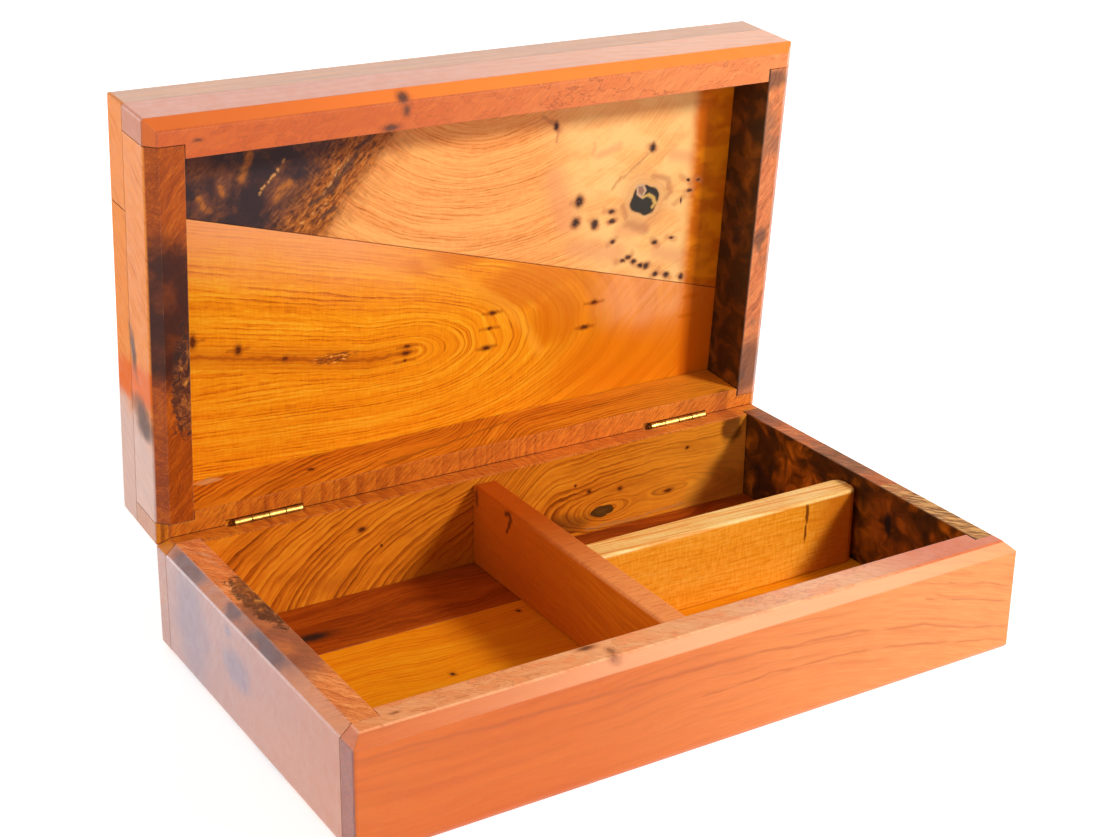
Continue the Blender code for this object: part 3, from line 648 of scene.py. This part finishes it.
def panel_front(s):
    """Pale board of the lid's top: bowed lines, knots at the right, burl at the left.

    This is about as much as Cycles can hold in one material: with more it turns black.
    """
    flat = s.at(s.x, s.y)
    aside = s.x - 6.0
    aside = s.math("MAXIMUM", aside, 0.0) / 1.4 + s.math("MINIMUM", aside, 0.0) / 1.15
    g = s.vector("LENGTH", s.shaken(s.at(aside, s.y + 78.0), 18.0, 1.4), output="Value")
    g = push(s, g, flat, [(76.4, -14.3, 18.0, 16.0, 4.0), (50.0, -12.0, 12.0, 10.0, 2.0)])
    tones = ((0.0, (0.98, 0.49, 0.14)), (0.35, (0.95, 0.40, 0.11)), (0.75, (0.84, 0.28, 0.062)),
             (1.2, (0.48, 0.125, 0.022)))
    colour, height = grain(s, g, s.x, tones, 1.25, 0.42, 0.5, 0.6, 6.0, s.z, 0.3)
    right = s.step(s.x - s.y * 0.3, 36.0, 64.0)
    drift = s.noise(s.shaken(s.at(s.x / 1.6, s.y), 12.0, 5.0), 11.0, 3.0, 0.55)
    colour = s.mix(right * s.step(drift, 0.36, 0.58, 0.35, 0.85), colour, (1.0, 0.60, 0.215))
    loose = s.shaken(flat, 7.0, 2.2, 3.0)
    rosy = [(36.0, -27.0, 43.0, -10.0, 6.0), (46.0, 0.0, 66.0, 6.0, 5.0),
            (66.0, -3.0, 76.0, -3.0, 3.4), (55.0, -34.0, 63.0, -36.5, 2.2),
            (52.3, -39.5, 52.4, -34.5, 1.0), (88.0, -30.0, 97.0, -27.0, 3.0),
            (84.0, 8.0, 96.0, 12.0, 4.0)]
    colour = strokes(s, colour, loose, rosy, (0.80, 0.31, 0.13), 0.55)
    brown = [(79.8, -23.0, 86.7, -20.7, 1.5), (86.7, -20.7, 88.2, -16.0, 1.6),
             (88.2, -16.0, 86.5, -13.5, 1.2), (70.0, -5.5, 78.0, -2.0, 2.6),
             (65.5, -24.5, 62.0, -20.5, 0.8), (76.5, -32.0, 66.5, -24.5, 0.9),
             (67.0, -12.5, 69.0, -8.0, 1.5), (30.0, -52.0, 36.5, -48.0, 1.0),
             (36.5, -48.0, 36.6, -42.0, 0.9)]
    colour = strokes(s, colour, s.shaken(flat, 4.0, 1.2, 3.0), brown, (0.50, 0.185, 0.07), 0.6)
    # Painted shadow: a deep golden band on the underside at the right, where the lid's right board
    # shades it.
    painted_wall_shadow = s.step(s.x + (drift - 0.5) * 5.0, 94.5, 100.5) * underside(s)
    painted_shadow_tone = s.mix(s.step(drift, 0.36, 0.6), (0.90, 0.26, 0.002), (0.66, 0.14, 0.001))
    colour = s.mix(painted_wall_shadow, colour, painted_shadow_tone)

    # The burl's torn edge, its fringe in the pale wood, and the burl.
    beyond = (s.x + 28.9) * 0.79 + (s.y + 55.0) * 0.614
    torn = s.noise(s.at(beyond / 6.0, (s.x - s.y) / 12.0, 2.0), 1.0, 4.0, 0.65)
    outside = s.step(s.y, -66.0, -72.0, 0.0, 60.0) + s.step(s.x, -121.0, -124.0, 0.0, 60.0)
    edge = beyond + (torn - 0.5) * 9.0 + outside
    comb = s.noise(s.shaken(s.at(edge / 9.0, (s.x - s.y) / 1.1, 6.0), 3.0, 0.6), 1.0, 3.0)
    fringe = s.step(edge + (torn - 0.5) * 14.0, 13.0, 0.0) * s.step(comb, 0.38, 0.62, 0.25, 0.7)
    colour = s.mix(fringe, colour, (0.56, 0.18, 0.045))
    shore = s.step(edge + (comb - 0.5) * 9.0, -22.0, -8.0, 0.0, 0.9)
    shore = shore * s.step(outside, 30.0, 0.0)
    within = s.step(edge + (comb - 0.5) * 5.0, 3.5, -2.5)
    colour = s.mix(within, colour, burl_corner(s, flat, shore))
    strand = s.shaken(flat, 5.0, 1.8, 3.0)
    shade = [(-36.8, -56.0, -46.0, -44.3, 1.3), (-46.0, -44.3, -53.2, -35.7, 1.8),
             (-53.2, -35.7, -60.0, -31.5, 1.2), (-56.0, -27.0, -51.0, -29.2, 1.2)]
    colour = strokes(s, colour, strand, shade, (0.060, 0.030, 0.024), 0.75)

    # Small knots, each on a browner stroke.
    dots = [(35.8, -47.6, 0.9, 1.6), (78.6, -34.3, 1.3, 1.8), (47.5, -17.5, 1.7, 2.2),
            (46.5, -9.2, 1.7, 1.8), (54.9, -7.5, 1.5, 1.9), (62.2, -11.5, 1.4, 0.9),
            (62.6, -7.5, 1.5, 0.9), (63.6, 0.8, 1.1, 0.8), (96.1, -19.3, 0.7, 0.6),
            (100.6, -18.7, 0.9, 0.5), (97.1, -14.9, 1.1, 0.7), (93.6, -11.5, 0.4, 1.2),
            (82.8, 4.0, 1.3, 0.9), (90.4, 3.3, 1.0, 0.6), (68.8, 9.2, 1.0, 0.7),
            (71.2, 8.2, 1.3, 0.8), (73.7, 10.4, 1.2, 1.0), (77.0, 12.4, 1.2, 0.9),
            (79.6, 13.0, 1.3, 1.3), (84.2, 17.1, 1.3, 1.0), (89.4, 18.3, 1.4, 1.1),
            (96.5, 20.3, 1.0, 1.3)]
    drawn = [(x - 1.2 - index % 3, y - 1.6 + index % 4 * 0.9, x + 1.6, y + 1.6 - index % 4, 1.5)
             for index, (x, y, _, _) in enumerate(dots)]
    colour = strokes(s, colour, s.shaken(flat, 3.0, 1.0), drawn, (0.58, 0.20, 0.07), 0.5)
    colour = knots(s, colour, flat, dots, (0.42, 0.13, 0.045), (0.035, 0.020, 0.016), 2.0, 0.55)

    # The big knot, a slanted oval with squarish corners.
    ragged = s.shaken(flat, 4.0, 1.0, 3.0)
    across = s.vector("DOT_PRODUCT", ragged, (0.934, 0.358, 0.0), output="Value") - 66.5
    along = s.vector("DOT_PRODUCT", ragged, (-0.358, 0.934, 0.0), output="Value") + 40.5
    cubes = [s.math("POWER", s.math("ABSOLUTE", off / half), 3.0)
             for off, half in ((across, 6.2), (along, 5.7))]
    big = s.math("POWER", cubes[0] + cubes[1], 1.0 / 3.0)
    wavy = s.rings(big * 8.0 + torn * 3.0, 2.6, 0.9)
    halo = s.step(big, 2.4, 1.0, 0.0, 0.7) * (0.6 + wavy * 0.25)
    colour = s.mix(halo, colour, (0.62, 0.25, 0.09))
    lip = s.step(s.math("ABSOLUTE", big - 1.10), 0.13, 0.02, 0.0, 0.55)
    colour = s.mix(lip, colour, (0.76, 0.42, 0.17))
    colour = s.mix(s.step(big, 1.05, 0.90), colour, (0.036, 0.030, 0.022))

    # The looped knot and the golden curl beside it.
    bow = s.shaken(flat, 3.0, 0.6)
    loop = [(73.0, -19.9, 75.6, -19.9, 0.6), (75.6, -19.9, 76.7, -17.8, 0.6),
            (73.0, -19.9, 73.3, -17.0, 0.6), (73.3, -17.0, 75.8, -15.3, 0.8),
            (76.7, -17.8, 76.0, -16.4, 0.6)]
    filled = s.step(s.away(bow, (74.9, -18.0), (1.9, 1.9)), 1.1, 0.7, 0.0, 0.8)
    colour = s.mix(filled, colour, (0.40, 0.20, 0.12))
    colour = strokes(s, colour, bow, loop, (0.68, 0.42, 0.24), 0.9)
    curl = [(75.8, -15.4, 78.2, -15.8, 0.7), (78.2, -15.8, 80.6, -14.2, 0.9),
            (80.6, -14.2, 81.6, -12.0, 1.0), (81.6, -12.0, 80.2, -10.6, 0.7)]
    colour = strokes(s, colour, bow, curl, (0.70, 0.42, 0.11), 0.95)

    # The board's front edge, with fine level lines under a painted pale pink reflection.
    edges = s.noise(s.at(s.z * 0.9, s.x / 40.0, s.y / 40.0), 1.0, 3.0, 0.6)
    front = s.step(s.y, -72.6, -73.6)
    edge_lines_and_veil = s.mix(s.step(edges, 0.3, 0.7), (0.88, 0.50, 0.32), (0.70, 0.42, 0.32))
    colour = s.mix(front, colour, edge_lines_and_veil)
    return s.mix(s.step(s.x, TOP_LEFT, TOP_LEFT - 1.0), colour, left_side(s)), height


def floor_front(s):
    """Wide bright board of the floor."""
    flat = s.at(s.x, s.y)
    g = s.y + s.noise(flat, 50.0, 1.0) * 14.0 + s.x * 0.06
    tones = ((0.0, (0.97, 0.40, 0.012)), (0.35, HONEY), (0.75, AMBER), (1.2, TAWNY))
    colour, height = grain(s, g, s.x, tones, 1.9, 0.36, 0.44, 0.5, 8.0, s.z)
    # Painted shadow: darker and redder beside the cross divider, where its shadow falls on the
    # floor.
    red = s.step(s.x + s.y * 0.3, -50.0, -20.0) * s.step(s.x, 20.0, -2.0)
    colour = s.mix(red * 0.5, colour, (0.60, 0.12, 0.004))
    dots = [(-55.0, -4.5, 0.9, 1.1), (-14.0, 22.5, 0.7, 0.8)]
    return knots(s, colour, flat, dots, strength=0.4), height


def floor_back(s):
    """Narrow dark board of the floor."""
    flat = s.at(s.x, s.y)
    g = s.y + s.noise(flat, 36.0, 1.0) * 16.0
    tones = ((0.0, (0.46, 0.09, 0.005)), (0.4, (0.33, 0.052, 0.003)),
             (0.8, (0.22, 0.032, 0.002)), (1.2, UMBER))
    colour, height = grain(s, g, s.x, tones, 3.0, 0.25, 0.7, 0.5, 8.0, s.z)
    return knots(s, colour, flat, [(-84.0, 41.0, 5.5, 2.2)], strength=0.6, halo=UMBER), height


def cross_divider(s):
    """Reddish board, darker towards the back, with a hooked knot near its back end."""
    flat = s.at(s.y, s.z)
    g = s.z - s.y * 0.10 + s.noise(flat, 40.0, 1.0) * 8.0
    tones = ((0.0, (0.56, 0.12, 0.006)), (0.4, (0.48, 0.09, 0.004)),
             (0.8, (0.39, 0.068, 0.003)), (1.2, RUSSET))
    colour, height = grain(s, g, s.y, tones, 2.6, 0.12, 0.16, 0.28, 10.0, s.x, 0.2)
    streak = s.noise(s.at(g / 1.4, s.y / 30.0), 1.0, 3.0)
    front_tone = s.mix(s.step(streak, 0.35, 0.65), (0.76, 0.20, 0.007), (0.62, 0.14, 0.004))
    colour = s.mix(s.step(s.y, 34.0, -46.0, 0.0, 0.75), colour, front_tone)
    hook = [(39.8, 36.4, 37.4, 37.6, 1.2), (37.4, 37.6, 36.4, 35.6, 1.3),
            (36.4, 35.6, 37.6, 32.6, 1.0), (37.6, 32.6, 39.2, 29.6, 0.7)]
    hooked = strokes(s, colour, s.shaken(flat, 3.0, 0.4), hook, UMBER, 0.95)
    colour = s.mix(s.step(s.x, -8.0, -8.8), colour, hooked)
    end = s.away(s.shaken(flat, 3.0, 1.0), (60.5, 34.5), (1.4, 4.0))
    colour = s.mix(s.step(end, 1.3, 0.5, 0.0, 0.7), colour, UMBER)
    top = s.step(s.z, 37.4, 38.6)
    # Painted light: the top is painted pale towards the front and dark towards the back, where the
    # dark lid is mirrored and shades it.
    colour = s.mix(s.step(s.y, 44.0, -50.0, 0.0, 0.9) * top, colour, (1.0, 0.34, 0.10))
    colour = s.mix(s.step(s.y, -20.0, 45.0, 0.0, 0.8) * top, colour, (0.42, 0.06, 0.001))
    rough = sanded(s, colour, s.y, s.x, (0.40, 0.08, 0.015), 0.5)
    return s.mix(top, colour, rough), height


def side_divider(s):
    """Golden board with a fine ripple across its grain."""
    flat = s.at(s.x, s.z)
    g = s.z + s.noise(flat, 44.0, 1.0) * 8.0
    tones = ((0.0, (0.96, 0.44, 0.05)), (0.4, (0.88, 0.33, 0.014)),
             (0.8, (0.72, 0.22, 0.007)), (1.2, TAWNY))
    colour, height = grain(s, g, s.x, tones, 2.2, 0.2, 0.3, 0.4, 9.0, ripple=0.9)
    streaky = s.step(s.noise(s.at(s.x / 9.0, s.z / 0.8), 1.0, 2.0), 0.55, 0.72, 0.0, 0.4)
    colour = s.mix(streaky, colour, (0.58, 0.17, 0.005))
    crack = [(89.3, 32.0, 0.9, 4.5), (88.9, 24.5, 0.6, 4.0)]
    cracked = s.step(s.nearest(s.shaken(flat, 3.0, 0.7), crack), 1.2, 0.6, 0.0, 0.9)
    colour = s.mix(cracked * s.step(s.y, -4.4, -5.2), colour, UMBER)
    # Painted shadow: the right end is darkened where the base's right board shades it.
    painted_end_shade = s.step(s.x, 84.0, 106.0, 0.0, 0.7)
    colour = s.mix(painted_end_shade, colour, (0.50, 0.105, 0.002))
    fibres = s.shaken(s.at(s.x / 34.0, (s.y + s.x * 0.05) / 1.5, 4.0), 2.0, 0.3)
    sawn = s.noise(fibres, 1.0, 4.0, 0.6)
    sawn = s.ramp(sawn, ((0.34, (1.0, 0.76, 0.32)), (0.48, (1.0, 0.60, 0.18)),
                         (0.60, (0.84, 0.31, 0.055))))
    sawn = sanded(s, sawn, s.x * 0.8, s.y * 1.4, (0.80, 0.30, 0.05), 0.35)
    return s.mix(s.step(s.z, 35.2, 36.3), colour, sawn), height


WOODS = {
    "base_front_board": front_board, "base_back_board": back_board,
    "base_left_board": left_board, "base_right_board": right_board,
    "floor_front_board": floor_front, "floor_back_board": floor_back,
    "cross_divider": cross_divider, "side_divider": side_divider,
    "lid_front_board": front_board, "lid_back_board": back_board,
    "lid_left_board": left_board, "lid_right_board": right_board,
    "lid_panel_front_board": panel_front, "lid_panel_back_board": panel_back,
}


# How each board is varnished: thinly inside, and to a haze on the outer faces.
INNER = {"rough": 0.45, "coat": 0.03, "coat_rough": 0.3, "shine": 0.07, "worn": 0.25}
OUTER = {"rough": 0.42, "coat": 0.35, "coat_rough": 0.24, "shine": 0.3}
FINISHES = {
    "base_back_board": INNER, "lid_back_board": INNER,
    "floor_front_board": INNER, "floor_back_board": INNER,
    "cross_divider": INNER, "side_divider": INNER, "lid_panel_back_board": INNER,
    "lid_panel_front_board": {**INNER, "coat": 0.15, "coat_rough": 0.4},
    "lid_front_board": {**OUTER, "coat": 0.5, "coat_rough": 0.3, "shine": 0.2},
    "base_left_board": {**OUTER, "coat": 1.0, "coat_ior": 1.75, "glazed": LEFT_FACE},
    "lid_left_board": {**OUTER, "coat": 0.06, "shine": 0.2},
    "base_right_board": {**OUTER, "coat": 0.0, "shine": 0.05},
    "lid_right_board": {**OUTER, "coat": 0.1},
}


def brass():
    """Rolled brass, lightly scratched and a little tarnished."""
    s = Sheet("brass")
    blotch = s.noise(s.place, 3.0, 3.0, 0.6)
    scratch = s.noise(s.at(s.x * 0.3, s.y * 6.0, s.z * 6.0), 1.0, 2.0)
    colour = s.mix(s.step(blotch, 0.35, 0.7), (0.70, 0.43, 0.10), (0.42, 0.20, 0.04))
    return s.finish(colour, scratch * 0.004, rough=0.30, coat=0.0, coat_rough=0.1,
                    worn=0.0, metal=1.0)


def dress():
    """Gives every CAD node its material."""
    metal = brass()
    for name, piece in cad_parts.items():
        if name in WOODS:
            sheet = Sheet(name, lid=name.startswith("lid_"))
            material = sheet.finish(*WOODS[name](sheet), **FINISHES.get(name, OUTER))
        else:
            material = metal
        piece.data.materials.clear()
        piece.data.materials.append(material)


# ---------------------------------------------------------------- table, light and camera

def where_seen(tree, usual, seen):
    """One shader as a source of light, and another where it is seen or mirrored."""
    ray = tree.nodes.new("ShaderNodeLightPath")
    either = tree.nodes.new("ShaderNodeMath")
    either.operation = "MAXIMUM"
    chosen = tree.nodes.new("ShaderNodeMixShader")
    tree.links.new(ray.outputs["Is Camera Ray"], either.inputs[0])
    tree.links.new(ray.outputs["Is Glossy Ray"], either.inputs[1])
    tree.links.new(either.outputs[0], chosen.inputs[0])
    tree.links.new(usual.outputs[0], chosen.inputs[1])
    tree.links.new(seen.outputs[0], chosen.inputs[2])
    return chosen


def make_table():
    """A white table top that meets a white surround, and keeps the box's soft shadow."""
    half, drop = 3.0, 0.1 * MM
    white, glow = 0.88, 0.6
    mesh = bpy.data.meshes.new("table_top")
    corners = [(-half, -half, 0.0), (half, -half, 0.0), (half, half, 0.0), (-half, half, 0.0)]
    mesh.from_pydata(corners, [], [(0, 1, 2, 3)])
    table = bpy.data.objects.new("table_top", mesh)
    bpy.context.scene.collection.objects.link(table)
    table.location.z = -drop
    s = Sheet("table_white")
    card = s.node("BsdfDiffuse")
    card.inputs["Color"].default_value = (white, white, white, 1.0)
    lift = s.node("Emission")
    lift.inputs["Strength"].default_value = glow
    lifted = s.node("AddShader")
    s.tree.links.new(card.outputs[0], lifted.inputs[0])
    s.tree.links.new(lift.outputs[0], lifted.inputs[1])
    out = s.node("OutputMaterial")
    s.tree.links.new(where_seen(s.tree, card, lifted).outputs[0], out.inputs["Surface"])
    mesh.materials.append(s.material)


def make_surround():
    """White all round: full white where it is seen or mirrored, gentler as light."""
    world = bpy.data.worlds.new("surround")
    bpy.context.scene.world = world
    world.use_nodes = True
    tree = world.node_tree
    tree.nodes.clear()
    gentle = tree.nodes.new("ShaderNodeBackground")
    gentle.inputs["Strength"].default_value = 0.38
    full = tree.nodes.new("ShaderNodeBackground")
    full.inputs["Strength"].default_value = 1.0
    out = tree.nodes.new("ShaderNodeOutputWorld")
    tree.links.new(where_seen(tree, gentle, full).outputs[0], out.inputs["Surface"])


def soft_lamp(name, place, aim, size, power):
    """A lamp of this size in metres and power in watts, turned from its place to its aim."""
    data = bpy.data.lights.new(name, "AREA")
    data.shape = "RECTANGLE"
    data.size, data.size_y = size
    data.energy = power
    lamp = bpy.data.objects.new(name, data)
    bpy.context.scene.collection.objects.link(lamp)
    lamp.location = place
    lamp.rotation_mode = "QUATERNION"
    lamp.rotation_quaternion = (Vector(aim) - Vector(place)).to_track_quat("-Z", "Y")


def make_camera():
    """The photograph's own view, found from the box's edges."""
    place = (-0.32998, -0.50683, 0.33518)
    heading, down, roll = (math.radians(angle) for angle in (32.2393, 21.3585, 0.9629))
    data = bpy.data.cameras.new("camera")
    data.sensor_width = 36.0
    data.lens = 65.08
    data.shift_x = -0.0143
    data.shift_y = -0.0351
    camera = bpy.data.objects.new("camera", data)
    bpy.context.scene.collection.objects.link(camera)
    turn = Matrix.Rotation(-heading, 4, "Z") @ Matrix.Rotation(math.pi / 2 - down, 4, "X")
    turn = turn @ Matrix.Rotation(roll, 4, "Z")
    camera.matrix_world = Matrix.Translation(place) @ turn
    bpy.context.scene.camera = camera


dress()
make_table()
make_surround()
soft_lamp("key", (1.06, -1.57, 1.15), (0.0, 0.0, 0.08), (0.34, 0.34), 39.0)
soft_lamp("back_panel", (0.9, 1.6, 0.95), (0.0, 0.0, 0.1), (2.0, 1.2), 6.5)
soft_lamp("back_left_panel", (-0.95, 1.4, 0.45), (0.0, 0.0, 0.05), (1.4, 0.7), 9.0)
soft_lamp("left_panel", (-1.6, -0.2, 0.45), (0.0, 0.0, 0.08), (1.0, 0.8), 9.0)
make_camera()
bpy.context.scene.view_settings.view_transform = "Standard"
